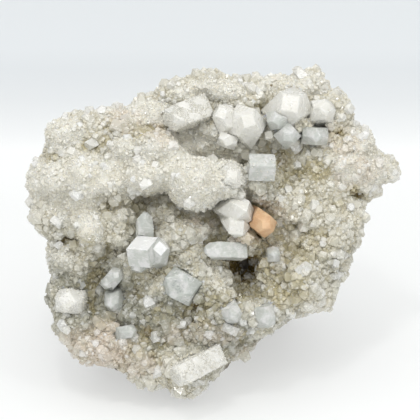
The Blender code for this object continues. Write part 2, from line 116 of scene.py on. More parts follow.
# Rounded lobes of the crust: middle u, v, radii and height
LOBES = (
    (-53, 73, 4.8, 5.2, 2.6), (-43.5, 72.5, 7, 8, 3.4), (-34.5, 74, 6.2, 6.6, 3.0),
    (-29.6, 83, 4.4, 3.8, 2.6), (-18, 83, 7.2, 5.6, 3.0), (-22.2, 74, 6.8, 5.6, 3.4),
    (-12.6, 76, 5.2, 6.5, 2.6), (-5.8, 71.5, 9, 8.6, 3.6), (6, 72, 5.4, 6.4, 2.4), (-44, 64, 7, 4, 1.6),
    (-41.7, 55.5, 5.2, 6, 2.6), (-52, 59, 6, 5.6, 1.8), (-50.5, 46.5, 5, 5, 2.0), (-31.2, 56.4, 5, 6, 1.4),
    (-59.8, 72.6, 3.6, 8, 2.0), (-50.4, 88.4, 7, 5.4, 1.6), (-40, 89, 4.5, 4.5, 1.4), (-33, 91, 5, 3.5, 1.0),
    (-26, 91, 3.6, 3.4, 1.6), (-20, 95, 5, 3.6, 1.0), (-48, 37, 4.5, 4, 1.4), (-40, 17, 5, 5.5, 1.6),
    (-31, 20, 5, 4.5, 1.2), (-34, 11.5, 4.5, 3.6, 1.4), (-24, 13, 5, 4.6, 1.6), (-15, 22, 4.5, 4, 1.4),
    (-18, 31, 5.5, 5.5, 1.8), (-22, 37.5, 4.5, 4, 1.4), (-4, 41.5, 6, 4, 1.4), (3, 35, 5, 4.4, 1.2),
    (-1, 23, 6, 4, 1.2), (-10, 15, 6, 3.6, 1.0), (4, 14, 5, 3, 1.0), (8, 22, 4.6, 3.6, 1.2),
    (27, 38, 5, 6, 1.8), (34, 36, 4.8, 5, 1.8), (35, 45, 5, 5, 1.8), (29, 52, 4.6, 4, 1.4),
    (36, 58, 6, 5, 1.8), (28, 62, 5, 4, 1.4), (46, 58, 5, 6, 1.6), (43, 49, 4, 4.6, 1.4),
    (19, 66, 4, 3.4, 1.2), (40, 68, 5, 4, 1.2), (50, 76.5, 10, 5.6, 1.8), (49, 87, 5, 4.6, 1.8),
    (37, 79, 4.5, 3.6, 1.0), (-6, 103, 6, 4, 1.4), (8, 104, 6, 4, 1.2), (-14, 101, 4.5, 3.6, 1.2),
    (30, 106, 8, 3.6, 1.0), (5, 80, 3, 3, 1.0), (-8, 56, 5, 3, 1.8), (-16, 53, 4, 3.2, 1.4),
    (-5, 84, 10, 7, 5.0), (12, 82, 7, 4, 3.0), (16, 67, 5, 4, 2.0),
)

# Hollows between the lobes: middle u, v, radii and depth
HOLLOWS = (
    (-22, 65.5, 12, 3.6, 1.6), (-27, 58, 7, 6, 0.8), (11.2, 43.2, 5.2, 4.8, 9.0), (28, 74, 8, 6, 2.0),
    (-34, 35, 7, 8, 2.6), (-19, 41, 5, 2.2, 3.0), (-17.5, 26.5, 2.2, 6, 2.6), (-4, 29, 7, 2.2, 2.2),
    (15, 35, 7, 4, 2.0), (5, 18.2, 9, 1.6, 2.0), (16, 53.5, 1.8, 2.2, 4.0), (49, 68, 3.0, 1.9, 4.0),
    (43, 88.5, 2.2, 1.6, 3.0), (-48, 52.6, 4, 1.7, 3.0), (-36, 88, 3, 6, 1.4), (-22, 88.5, 5, 2.0, 1.6),
    (9, 98, 8, 1.8, 1.6), (23, 80, 7, 2.4, 1.8), (-30, 47, 5, 2.2, 1.8), (26, 36, 6, 6, 2.0),
    (36, 75, 5, 4, 2.0),
)

# Patches of colour on the crust: middle u, v, radii, strength. WARM and COOL are stains of the crust
WARM = (
    (-38, 17, 15, 9, 0.9), (-24, 11, 9, 5, 0.7), (-31, 92, 10, 5, 0.6), (-2, 58, 9, 3, 0.6),
    (10, 53, 4, 3, 0.9), (28, 106, 14, 5, 0.3), (44, 86, 9, 6, 0.7), (-5, 22, 16, 6, 0.5),
    (30, 30, 12, 6, 0.35), (-17, 88, 6, 5, 0.6), (16, 10, 12, 10, 0.4), (48, 74, 14, 8, 0.45),
)
COOL = (
    (-38, 33, 9, 9, 0.9), (-28, 58, 8, 8, 0.25), (16, 70, 10, 10, 0.5), (-20, 46, 14, 7, 0.5),
    (-2, 98, 12, 6, 0.5), (14, 27, 9, 6, 0.35), (24, 58, 14, 16, 0.2), (-36, 40, 8, 8, 0.8),
    (2, 26, 12, 6, 0.7), (-14, 25, 9, 7, 0.8), (-30, 24, 8, 6, 0.6), (-40, 30, 9, 8, 0.8),
    (-6, 32, 9, 6, 0.7), (12, 33, 8, 6, 0.6), (-2, 29, 12, 6, 0.9), (-45, 24, 8, 8, 0.4),
    (-22, 22, 9, 9, 1.0), (-14, 29, 9, 7, 1.0), (-38, 28, 7, 8, 1.0), (0, 22, 18, 9, 0.85),
    (-52, 32, 9, 15, 0.7), (-36, 29, 16, 14, 1.0), (22, 24, 10, 8, 0.6), (2, 8, 14, 7, 0.5),
    (-50, 52, 9, 8, 0.4), (40, 42, 10, 16, 0.35),
)
# OLIVE lies in hollows, gaps and under the roll: partly the crust's own olive, partly painted shade
OLIVE = (
    (-10, 61, 17, 4, 0.25), (-22, 66, 13, 4, 0.5), (9, 45, 6, 5, 1.0), (18.5, 46, 3.4, 8, 1.0),
    (12.5, 43, 8, 5.5, 1.0), (4, 31, 9, 5, 0.8), (-8, 28, 9, 5, 0.7), (15, 53, 4, 4, 0.9),
    (-18, 42, 7, 4, 0.7), (30, 49, 7, 6, 0.7), (-44, 52, 6, 4, 0.6), (-6, 27, 18, 5, 0.6),
    (24, 75, 9, 6, 0.6), (14, 37, 9, 7, 0.6), (49, 68, 4, 3, 1.0), (43, 88, 4, 3, 0.8), (-37, 30, 7, 8, 0.5),
    (-30, 54, 5, 7, 0.4), (36, 76, 5, 5, 1.0), (36, 52, 6, 5, 0.9), (26, 36, 7, 7, 1.0),
    (-24, 18, 7, 6, 0.6),
)

# DARK paints the deep hole and narrow gaps brown-black: painted shade
DARK = (
    (11.0, 43.2, 6.0, 5.4, 1.3), (8.0, 46.0, 3.6, 2.4, 1.0), (49, 68, 3.0, 1.8, 0.9),
    (43, 88.5, 1.8, 1.3, 0.8), (16.3, 53.5, 1.6, 2.0, 0.9), (-5.4, 30.5, 1.6, 1.3, 0.8),
    (-21, 21, 1.2, 2.5, 0.6), (-22, 66.5, 3.5, 1.2, 0.4), (-48.5, 53, 3.5, 1.3, 0.7),
    (22, 43, 3.5, 2.5, 0.6), (20, 50, 2.6, 5, 0.65), (20, 104.8, 0.7, 0.6, 1.0), (-18, 40.5, 4.0, 1.3, 0.6),
    (24, 78, 3.0, 2.5, 0.5),
)


def length(name, description, millimetres):
    return FloatProperty(
        name=name, description=description, default=millimetres * MM, unit="LENGTH", precision=5
    )


def tint(name, description, default):
    return FloatVectorProperty(name=name, description=description, default=default, subtype="COLOR")


class APOPHYLLITE_PG_sizes(bpy.types.PropertyGroup):
    """Sizes of the growth that a user may want to change."""

    crust_cell: length("Crust cell", "Mesh width of the crust", 0.82)
    lump_spacing: length("Lump spacing", "Spacing of the small lumps", 2.3)
    sugar_size: length("Sugar size", "Half length of a sugar grain", 0.36)
    roll_spacing: length("Roll spacing", "Spacing of the grains on the roll", 0.53)
    block_size: length("Druse size", "Half width of a crystal of the druse", 0.42)
    field_spacing: length("Field spacing", "Spacing of the grains elsewhere", 0.68)
    block_spacing: length("Druse spacing", "Spacing of the crystals of the druse", 1.2)
    crystal_spacing: length("Crystal spacing", "Spacing of the small crystals", 2.4)
    # Bevel width of the crystals; on the clear ones the bevels carry a painted highlight
    edge_width: length("Edge width", "Width of a crystal's worn edge", 0.12)


class APOPHYLLITE_PG_colours(bpy.types.PropertyGroup):
    """Colours of the minerals."""

    sugar: tint("Sugar", "Clean drusy sugar", (0.79, 0.765, 0.675))
    ground: tint("Ground", "Greyish olive under the small crystals", (0.70, 0.655, 0.52))
    field: tint("Field", "Greyer crust off the roll", (0.715, 0.68, 0.57))
    warm: tint("Warm stain", "Beige stain in the crust", (0.73, 0.64, 0.53))
    cool: tint("Cool stain", "Blue-grey glassy crust", (0.36, 0.352, 0.278))
    # olive and dark also paint shade into hollows, gaps and holes, besides some real olive of the crust
    olive: tint("Olive hollow", "Olive-brown of the hollows", (0.55, 0.49, 0.30))
    dark: tint("Dark hole", "Brown-black of the deepest holes", (0.17, 0.12, 0.035))
    rock: tint("Rock", "Grey-brown rock of the back", (0.17, 0.145, 0.12))
    clear: tint("Clear crystal", "Clear apophyllite", (0.76, 0.785, 0.735))
    milky: tint("Milky crystal", "Milky apophyllite", (0.86, 0.845, 0.78))
    stilbite: tint("Stilbite", "Peach stilbite", (0.70, 0.43, 0.24))


STAINS_AND_SHADE = {"warm": WARM, "cool": COOL, "olive": OLIVE, "dark": DARK}
MARKS = ("druse", "roll", "hollow", *STAINS_AND_SHADE)

# The druse gives way to bare rock between these values of w: its fine growth, then its lobes
GROWTH_END = (-24, -15)
LOBES_END = (-22, -12)

# How far the crust is set back before its lobes rise, and how far it rises against a crystal's foot
SET_BACK = 2.4
COLLAR = 2.5


def mode(kind):
    bpy.ops.object.mode_set(mode=kind)


def deselect():
    bpy.ops.object.select_all(action="DESELECT")


def take(obj):
    """Makes obj the only selected object and the active one."""
    deselect()
    obj.select_set(True)
    bpy.context.view_layer.objects.active = obj


def added(name, data):
    obj = bpy.data.objects.new(name, data)
    bpy.context.scene.collection.objects.link(obj)
    return obj


def apply_all(obj):
    take(obj)
    for modifier in list(obj.modifiers):
        bpy.ops.object.modifier_apply(modifier=modifier.name)


def merged_copy(node_name, name):
    """A copy of a CAD node with its loose triangles merged and its flat faces made whole."""
    mesh = frame["nodes"][node_name].data.copy()
    mesh.name = name
    copy = added(name, mesh)
    mesh.materials.clear()
    take(copy)
    mode("EDIT")
    bpy.ops.mesh.select_all(action="SELECT")
    bpy.ops.mesh.remove_doubles(threshold=0.005 * MM)
    bpy.ops.mesh.dissolve_limited(angle_limit=math.radians(0.5))
    mode("OBJECT")
    return copy


def read(items, key, width, kind=float):
    """One property of all the items of a mesh, as rows of that width."""
    flat = np.empty(len(items) * width, dtype=kind)
    items.foreach_get(key, flat)
    return flat.reshape(-1, width)


def places(mesh):
    """The mesh's vertices as rows of x, y, z in metres."""
    return read(mesh.vertices, "co", 3)


def normals_of(mesh):
    return read(mesh.vertices, "normal", 3)


def triangles_of(mesh):
    mesh.calc_loop_triangles()
    return read(mesh.loop_triangles, "vertices", 3, int)


def on_face(points):
    """Points of the world as rows of u, v, w in millimetres."""
    turn = np.array(WORLD_TO_FACE.to_3x3())
    return (points @ turn.T + np.array(WORLD_TO_FACE.translation)) / MM


def ramp(values, low, high):
    """0 below low, 1 above high, and smooth between them."""
    share = np.clip((values - low) / (high - low), 0, 1)
    return share * share * (3 - 2 * share)


def off_centre(face_points, u, v, radius_u, radius_v):
    """The squared distance of each point from a round patch's middle, which is 1 on its edge."""
    return ((face_points[:, 0] - u) / radius_u) ** 2 + ((face_points[:, 1] - v) / radius_v) ** 2


def patches(face_points, rows):
    """The largest value that the listed soft round patches have at each point."""
    cover = np.zeros(len(face_points))
    for *patch, strength in rows:
        far = off_centre(face_points, *patch)
        cover = np.maximum(cover, strength * np.exp(-0.7 * far * far))
    return cover


def lobes(face_points, rows, roundness=0.5):
    """Height of the crust over its lobes, in millimetres; at 0.5 each is a dome with a crisp foot."""
    height = np.zeros(len(face_points))
    for u, v, radius_u, radius_v, rise in rows:
        near = np.nonzero(
            (np.abs(face_points[:, 0] - u) < radius_u) & (np.abs(face_points[:, 1] - v) < radius_v)
        )[0]
        far = off_centre(face_points[near], u, v, radius_u, radius_v)
        height[near] = np.maximum(height[near], rise * np.maximum(1 - far, 0) ** roundness)
    return height


def on_sugar(face_points):
    """1 where the crust has the fine white sugar, and 0 elsewhere."""
    cover = np.zeros(len(face_points))
    for patch in SUGARY:
        cover = np.maximum(cover, ramp(-off_centre(face_points, *patch), -1.15, -0.75))
    return cover


def knobs(chance):
    """Smaller lobes strewn over the face."""
    rows = []
    for count, low, high, share in ((330, 2.2, 4.2, 0.42), (900, 1.0, 2.0, 0.36)):
        for _ in range(count):
            radius = chance.uniform(low, high)
            place = (chance.uniform(-62, 62), chance.uniform(0, 109))
            across = radius * chance.uniform(0.75, 1.2)
            rows.append((*place, radius, across, radius * share * chance.uniform(0.6, 1.2)))
    return rows


def store(mesh, name, values):
    layer = mesh.attributes.new(name, "FLOAT", "POINT")
    layer.data.foreach_set("value", values.astype(np.float32))


def recess(mesh, rounds):
    """How far each vertex lies below the surface smoothed around it, in millimetres."""
    first, second = read(mesh.edges, "vertices", 2, int).T
    sharp = places(mesh)
    size = len(sharp)
    count = np.bincount(first, minlength=size) + np.bincount(second, minlength=size)
    soft = sharp.copy()
    for _ in range(rounds):
        for axis in range(3):
            here = soft[:, axis]
            around = np.bincount(first, here[second], size) + np.bincount(second, here[first], size)
            soft[:, axis] = (here + around / count) / 2
    return ((soft - sharp) * normals_of(mesh)).sum(axis=1) / MM


def noise_texture(name, kind, size):
    texture = bpy.data.textures.new(name, kind)
    texture.noise_scale = size * MM
    if kind == "CLOUDS":
        texture.noise_depth = 3
    return texture


def roughen(obj, name, kind, size, strength, group):
    """Pushes the surface in and out by a noise of that size, in millimetres."""
    displace = obj.modifiers.new(name, "DISPLACE")
    displace.texture = noise_texture(name, kind, size)
    displace.texture_coords = "LOCAL"
    displace.strength = strength * MM
    displace.vertex_group = group


# Shader nodes


class Nodes:
    """A short way to write a node tree."""

    def __init__(self, tree):
        self.tree = tree

    def add(self, kind, values=None, **settings):
        node = self.tree.nodes.new(kind)
        for key, value in settings.items():
            setattr(node, key, value)
        self.put(node, values or {})
        return node

    def put(self, node, values):
        """Sets a node's inputs, each to a value or to another node's output."""
        for key, value in values.items():
            if isinstance(value, bpy.types.NodeSocket):
                self.tree.links.new(value, node.inputs[key])
            else:
                node.inputs[key].default_value = value

    def place(self):
        return self.add("ShaderNodeTexCoord").outputs["Object"]

    def attribute(self, name):
        return self.add("ShaderNodeAttribute", attribute_name=name).outputs["Fac"]

    def noise(self, place, scale, detail=4, rough=0.55):
        values = {"Vector": place, "Scale": scale, "Detail": detail, "Roughness": rough}
        return self.add("ShaderNodeTexNoise", values).outputs["Fac"]

    def span(self, value, low, high, to_low=0.0, to_high=1.0):
        values = {"Value": value, "From Min": low, "From Max": high, "To Min": to_low, "To Max": to_high}
        return self.add("ShaderNodeMapRange", values).outputs["Result"]

    def math(self, operation, first, second):
        return self.add("ShaderNodeMath", {0: first, 1: second}, operation=operation).outputs["Value"]

    def mix(self, share, first, second, blend="MIX"):
        node = self.add("ShaderNodeMix", data_type="RGBA", blend_type=blend)
        ends = [end if isinstance(end, bpy.types.NodeSocket) else (*end[:3], 1) for end in (first, second)]
        self.put(node, {0: share, 6: ends[0], 7: ends[1]})
        return node.outputs[2]


def new_group(name, colours, values):
    """An empty node group with colour inputs and value inputs, and its Nodes."""
    tree = bpy.data.node_groups.new(name, "ShaderNodeTree")
    for key in colours:
        tree.interface.new_socket(key, in_out="INPUT", socket_type="NodeSocketColor")
    for key in values:
        tree.interface.new_socket(key, in_out="INPUT", socket_type="NodeSocketFloat")
    nodes = Nodes(tree)
    return nodes, nodes.add("NodeGroupInput").outputs


def put_out(nodes, kind, name, socket):
    nodes.tree.interface.new_socket(name, in_out="OUTPUT", socket_type=kind)
    found = [node for node in nodes.tree.nodes if node.bl_idname == "NodeGroupOutput"]
    end = found[0] if found else nodes.add("NodeGroupOutput")
    nodes.tree.links.new(socket, end.inputs[name])


def crust_colour_group():
    """The colour of the crust from its stains, with painted shade in its hollows and in the olive and dark
    patches, as crust, sugar and crystals share it.
    """
    name = "crust_colour"
    if name in bpy.data.node_groups:
        return bpy.data.node_groups[name]
    nodes, given = new_group(name, ("Sugar", "Field", "Warm", "Cool", "Olive", "Dark"), ("Depth",))
    place = nodes.place()
    coarse = nodes.noise(place, 110, 3)
    fine = nodes.noise(place, 420, 3)
    ragged = nodes.span(coarse, 0.3, 0.7, -0.25, 0.25)
    speckle = nodes.span(fine, 0.3, 0.7, -0.2, 0.2)
    broken = nodes.math("ADD", ragged, speckle)

    def cover(key, low, high):
        return nodes.span(nodes.math("ADD", nodes.attribute(key), broken), low, high)

    cluster = nodes.noise(place, 260, 2)
    sugar = nodes.mix(nodes.span(cluster, 0.38, 0.62), given["Sugar"], (0.85, 0.835, 0.765))
    clean = nodes.mix(cover("roll", 0.2, 0.8), given["Field"], sugar)
    colour = nodes.mix(cover("cool", 0.25, 0.9), clean, given["Cool"])
    colour = nodes.mix(cover("warm", 0.3, 1.0), colour, given["Warm"])
    # Recesses tinted olive, faint on the roll: partly the crust's own olive, partly painted shade
    hollow = nodes.math("MULTIPLY", cover("hollow", 0.2, 0.9), given["Depth"])
    hollow = nodes.math("MULTIPLY", hollow, nodes.span(nodes.attribute("roll"), 0, 1, 1, 0.12))
    colour = nodes.mix(hollow, colour, given["Olive"])
    # Olive and dark patches: painted shade in hollows, gaps, the deep hole and under the roll, with some real
    # olive of the crust
    olive = nodes.math("MULTIPLY", cover("olive", 0.35, 0.95), given["Depth"])
    colour = nodes.mix(olive, colour, given["Olive"])
    colour = nodes.mix(cover("dark", 0.4, 0.9), colour, given["Dark"])
    put_out(nodes, "NodeSocketColor", "Color", colour)
    return nodes.tree


def new_material(name):
    material = bpy.data.materials.new(name)
    material.use_nodes = True
    nodes = Nodes(material.node_tree)
    return material, nodes, material.node_tree.nodes["Principled BSDF"]


def colour(key):
    return (*getattr(bpy.context.scene.apophyllite_colours, key), 1)


def add_crust_colour(nodes, sugar, field, depth):
    values = {name: colour(name.lower()) for name in ("Warm", "Cool", "Olive", "Dark")}
    values.update({"Sugar": sugar, "Field": field, "Depth": depth})
    return nodes.add("ShaderNodeGroup", values, node_tree=crust_colour_group()).outputs["Color"]


def bump(nodes, shader, height, distance, strength=1.0):
    made = nodes.add("ShaderNodeBump", {"Height": height, "Distance": distance * MM, "Strength": strength})
    nodes.put(shader, {"Normal": made.outputs["Normal"]})


def glassy(nodes, shader, base, rough, transmission):
    nodes.put(shader, {
        "Base Color": base, "Roughness": rough, "IOR": CRYSTAL_IOR, "Transmission Weight": transmission,
    })


def crust_material():
    """Sugary crust in front and broken rock behind."""
    material, nodes, shader = new_material("drusy_crust")
    place = nodes.place()
    front = add_crust_colour(nodes, colour("sugar"), colour("ground"), 0.9)
    grain = nodes.noise(place, 900, 5, 0.7)
    front = nodes.mix(nodes.span(grain, 0.35, 0.65), front, (0.93, 0.91, 0.86), "MULTIPLY")
    patchy = nodes.noise(place, 70, 6, 0.6)
    rock = nodes.mix(nodes.span(patchy, 0.4, 0.62), colour("rock"), (0.30, 0.27, 0.22))
    pits = nodes.noise(place, 600, 4, 0.7)
    rock = nodes.mix(nodes.span(pits, 0.3, 0.55), (0.08, 0.07, 0.055), rock)
    veins = nodes.noise(place, 38, 8, 0.62)
    rock = nodes.mix(nodes.span(veins, 0.60, 0.66), rock, (0.62, 0.60, 0.54))
    edge = nodes.math("ADD", nodes.attribute("druse"), nodes.span(patchy, 0.3, 0.7, -0.3, 0.3))
    whole = nodes.mix(nodes.span(edge, 0.4, 0.6), rock, front)
    # Crust inside and just around the named crystals is painted near white, so the crystals read bright
    # through their glass: painted light
    whole = nodes.mix(nodes.attribute("socket"), whole, (0.93, 0.93, 0.90))
    bump(nodes, shader, nodes.math("ADD", grain, nodes.noise(place, 2400, 3, 0.7)), 0.2)
    nodes.put(shader, {
        "Base Color": whole, "Roughness": nodes.span(grain, 0.3, 0.7, 0.45, 0.8), "Subsurface Weight": 0.5,
        "Subsurface Radius": (1.0, 0.92, 0.75), "Subsurface Scale": 1.6 * MM,
    })
    return material


def sugar_material():
    """Tiny bright grains."""
    material, nodes, shader = new_material("sugar")
    tone = nodes.attribute("tone")
    base = add_crust_colour(nodes, colour("sugar"), colour("field"), 0.6)
    base = nodes.mix(nodes.span(tone, 0.0, 0.35, 0.2, 0.0), base, (0.84, 0.81, 0.73))
    base = nodes.mix(nodes.span(tone, 0.6, 1.0, 0.0, 0.5), base, (0.92, 0.915, 0.89))
    glassy(nodes, shader, base, nodes.span(tone, 0.0, 1.0, 0.32, 0.12), 0.15)
    return material


def block_material():
    """Tightly packed glassy blocks, some clear and some clouded."""
    material, nodes, shader = new_material("druse")
    tone = nodes.attribute("tone")
    base = add_crust_colour(nodes, colour("sugar"), (0.73, 0.70, 0.595, 1), 0.8)
    base = nodes.mix(nodes.span(tone, 0.0, 0.5, 0.3, 0.0), base, (0.84, 0.81, 0.72), "MULTIPLY")
    base = nodes.mix(nodes.span(tone, 0.8, 1.0, 0.0, 0.6), base, (0.93, 0.93, 0.90))
    glassy(nodes, shader, base, nodes.span(tone, 0.0, 1.0, 0.35, 0.08), 0.1)
    return material


def small_crystal_material():
    """Small glassy crystals that pick up the colour of the crust they grow from."""
    material, nodes, shader = new_material("small_glassy_crystals")
    place = nodes.place()
    tone = nodes.attribute("tone")
    base = add_crust_colour(nodes, (0.93, 0.92, 0.87, 1), (0.78, 0.755, 0.655, 1), 0.7)
    base = nodes.mix(nodes.span(tone, 0.7, 1.0, 0.0, 0.6), base, (0.94, 0.95, 0.95))
    veil = nodes.noise(place, 500, 4, 0.6)
    base = nodes.mix(nodes.span(veil, 0.5, 0.7, 0.0, 0.5), base, (0.96, 0.96, 0.95))
    glassy(nodes, shader, base, nodes.span(veil, 0.35, 0.7, 0.12, 0.4), 0.2)
    return material


def crystal_surface_group():
    """Growth lines, frosting and cloud of a crystal's faces, shared by every crystal."""
    name = "crystal_surface"
    if name in bpy.data.node_groups:
        return bpy.data.node_groups[name]
    nodes, given = new_group(name, ("Body", "Cloud"), ("Clouding", "Smooth", "Frost"))
    place = nodes.place()
    cloud = nodes.noise(place, 300, 6, 0.68)
    wisps = nodes.add("ShaderNodeMapping", {"Vector": place, "Scale": (1, 1, 4.5)}).outputs["Vector"]
    lines = nodes.noise(wisps, 520, 3, 0.5)
    frost = nodes.noise(place, 190, 6, 0.7)
    veil = nodes.noise(wisps, 420, 5, 0.7)
    streaks = nodes.math("MAXIMUM", nodes.span(cloud, 0.47, 0.6), nodes.span(veil, 0.53, 0.64))
    share = nodes.math("MULTIPLY", streaks, given["Clouding"])
    faces = nodes.mix(nodes.attribute("facet"), (0.90, 0.905, 0.905), (1, 1, 1))
    body = nodes.mix(1.0, nodes.mix(share, given["Body"], given["Cloud"]), faces, "MULTIPLY")
    put_out(nodes, "NodeSocketColor", "Color", body)
    uneven = nodes.span(nodes.attribute("facet"), 0, 1, -0.3, 0.3)
    patch = nodes.math("ADD", nodes.span(frost, 0.46, 0.6), uneven)
    rough = nodes.add("ShaderNodeMix", {0: patch, 2: given["Smooth"], 3: given["Frost"]}, data_type="FLOAT")
    put_out(nodes, "NodeSocketFloat", "Roughness", rough.outputs[0])
    put_out(nodes, "NodeSocketFloat", "Height", nodes.math("ADD", lines, nodes.noise(place, 1500, 3, 0.6)))
    return nodes.tree


def crystal_material(name, body, cloud, clouding, smooth, frost, transmission, glow=1.2):
    """One kind of crystal; glow is how far light spreads in it, in millimetres."""
    material, nodes, shader = new_material(name)
    values = {"Body": body, "Cloud": cloud, "Clouding": clouding, "Smooth": smooth, "Frost": frost}
    surface = nodes.add("ShaderNodeGroup", values, node_tree=crystal_surface_group()).outputs
    glassy(nodes, shader, surface["Color"], surface["Roughness"], transmission)
    bump(nodes, shader, surface["Height"], 0.2, 0.8)
    nodes.put(shader, {
        "Subsurface Weight": 0.25, "Subsurface Radius": (1.0, 0.98, 0.93), "Subsurface Scale": glow * MM,
    })
    return material


# Crust


def near_crystals():
    """One tree of all the named crystals' surfaces."""
    points, faces = [], []
    for name in CLEAR + MILKY + ("stilbite_peach",):
        mesh = frame["nodes"][name].data
        start = len(points)
        points += [vertex.co.copy() for vertex in mesh.vertices]
        faces += [[start + index for index in polygon.vertices] for polygon in mesh.polygons]
    return BVHTree.FromPolygons(points, faces)


def depth_in(tree, points, reach):
    """How deep each point lies inside the solids of tree, in metres; shallower than -reach is -reach."""
    depth = np.full(len(points), -reach)
    for index, point in enumerate(points):
        hit, normal, _, distance = tree.find_nearest(Vector(point), reach)
        if hit is not None:
            depth[index] = distance if (Vector(point) - hit).dot(normal) < 0 else -distance
    return depth


def mark_crust(obj):
    """Writes into its attributes where the crust is druse, how deep it lies in a hollow and where its patches
    of colour lie; hollows and the olive and dark patches later carry painted shade.
    """
    mesh = obj.data
    face_points = on_face(places(mesh))
    rear = ramp(-face_points[:, 1], -14, 0) * 8
    store(mesh, "druse", ramp(face_points[:, 2], -22 + rear, -16 + rear))
    # How far below its smoothed surroundings each vertex lies: the mask for the painted shade and olive of
    # the recesses
    sunk = recess(mesh, 110)
    low, high = np.percentile(sunk[face_points[:, 2] > -14], (45, 93))
    store(mesh, "hollow", ramp(sunk, low, high))
    near = depth_in(near_crystals(), places(mesh), 1.2 * MM) / MM
    socket = ramp(near, -0.9, -0.5)
    store(mesh, "socket", socket)
    store(mesh, "roll", on_sugar(face_points))
    for name, rows in STAINS_AND_SHADE.items():
        store(mesh, name, patches(face_points, rows))


def marks_of(mesh):
    """The attributes that mark_crust wrote."""
    return {name: read(mesh.attributes[name].data, "value", 1, np.float32).ravel() for name in MARKS}


def finish_piece(obj, slot, *nodes):
    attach(obj, "root")
    if nodes:
        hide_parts(*nodes)


def even_out(obj, name, cell):
    remesh = obj.modifiers.new(name, "REMESH")
    remesh.mode = "VOXEL"
    remesh.voxel_size = cell


def move_to(mesh, points):
    mesh.vertices.foreach_set("co", points.ravel())
    mesh.update()


def raised(mesh, chance):
    """The mesh's places once its lobes stand out, its hollows are sunk and it rises against the crystals."""
    points = places(mesh)
    face_points = on_face(points)
    front = ramp(face_points[:, 2], *LOBES_END) * ramp(points[:, 2] / MM, 1, 5)
    lift = 0.75 * lobes(face_points, LOBES) + lobes(face_points, knobs(chance), 0.8)
    collar = 1 + depth_in(near_crystals(), points, COLLAR * MM) / (COLLAR * MM)
    lift += np.clip(collar, 0, 1)
    lift -= patches(face_points, HOLLOWS) + SET_BACK
    out = np.array(FACE_TO_WORLD.to_3x3().col[2])
    return points + (lift * front * MM)[:, None] * out


def lumps(mesh, points, spacing, chance):
    """Small round and square lumps whose middles lie below the surface of the crust."""
    face_points = on_face(points)
    front = ramp(face_points[:, 2], *GROWTH_END) * ramp(points[:, 2] / MM, 1, 4)
    corners, share, spots = clear_of_crystals(scatter(mesh, front, spacing, chance), 3, -0.5)
    normals = carried(normals_of(mesh), corners, share)
    roll = carried(on_sugar(face_points), corners, share)
    axes = leaning(normals, 0.5, chance)
    radius = (0.5 + 1.1 * chance.random(len(spots)) ** 2.2) * (1 - 0.15 * roll) * MM
    sunk = (0.4 + 0.2 * roll) * radius
    scales = radius[:, None] * chance.uniform(0.75, 1.2, (len(spots), 3))
    rolls = chance.uniform(0, math.pi, len(spots))
    spots = spots - normals * sunk[:, None]
    blocky = chance.random(len(spots)) < 0.92 - 0.5 * roll
    return [
        strewn(name, template, spots[chosen], axes[chosen], rolls[chosen], scales[chosen], {})
        for name, template, chosen in (
            ("round", ball_template(), ~blocky), ("square", crystal_template(), blocky),
        )
    ]


def roughen_crust(crust):
    """Clusters and crumbs in front, and a broken surface behind."""
    points = places(crust.data)
    face_points = on_face(points)
    height = ramp(points[:, 2] / MM, 0.6, 4)
    front = ramp(face_points[:, 2], *GROWTH_END)
    roll = on_sugar(face_points)
    for name, weights in (
        ("druse", height * front), ("field", height * front * (1 - roll)), ("rock", height * (1 - front)),
    ):
        group = crust.vertex_groups.new(name=name)
        for step in range(1, 11):
            level = np.nonzero(np.round(weights * 10) == step)[0]
            group.add(level.tolist(), step / 10, "REPLACE")
    for row in (
        ("lumps", "CLOUDS", 5, 1.2, "field"), ("clusters", "CLOUDS", 3.2, 1.2, "druse"),
        ("crumbs", "CLOUDS", 1.3, 0.6, "druse"), ("breaks", "CLOUDS", 16, 3.0, "rock"),
        ("chips", "VORONOI", 6, 1.4, "rock"), ("grit", "CLOUDS", 1.6, 0.8, "rock"),
    ):
        roughen(crust, *row)
    apply_all(crust)
    crust.vertex_groups.clear()


class APOPHYLLITE_OT_crust(bpy.types.Operator):
    """Grows the fine crust over the rock plate"""

    bl_idname = "apophyllite.crust"
    bl_label = "Crust"

    def execute(self, context):
        sizes = context.scene.apophyllite_sizes
        crust = merged_copy("matrix", "crust")
        chance = np.random.default_rng(3)
        even_out(crust, "Even", sizes.crust_cell)
        apply_all(crust)
        points = raised(crust.data, chance)
        move_to(crust.data, points)
        pieces = lumps(crust.data, points, sizes.lump_spacing, chance)
        deselect()
        for piece in (crust, *pieces):
            piece.select_set(True)
        context.view_layer.objects.active = crust
        bpy.ops.object.join()
        even_out(crust, "Fine", sizes.crust_cell)
        soften = crust.modifiers.new("Soften", "SMOOTH")
        soften.factor = 0.5
        soften.iterations = 2
        apply_all(crust)
        roughen_crust(crust)

        points = places(crust.data)
        points[:, 2] = np.maximum(points[:, 2], 0)
        move_to(crust.data, points)
        take(crust)
        bpy.ops.object.shade_smooth()
        mark_crust(crust)
        crust.data.materials.append(crust_material())
        finish_piece(crust, "drusy_crust", "matrix")
        return {"FINISHED"}


# Crystals


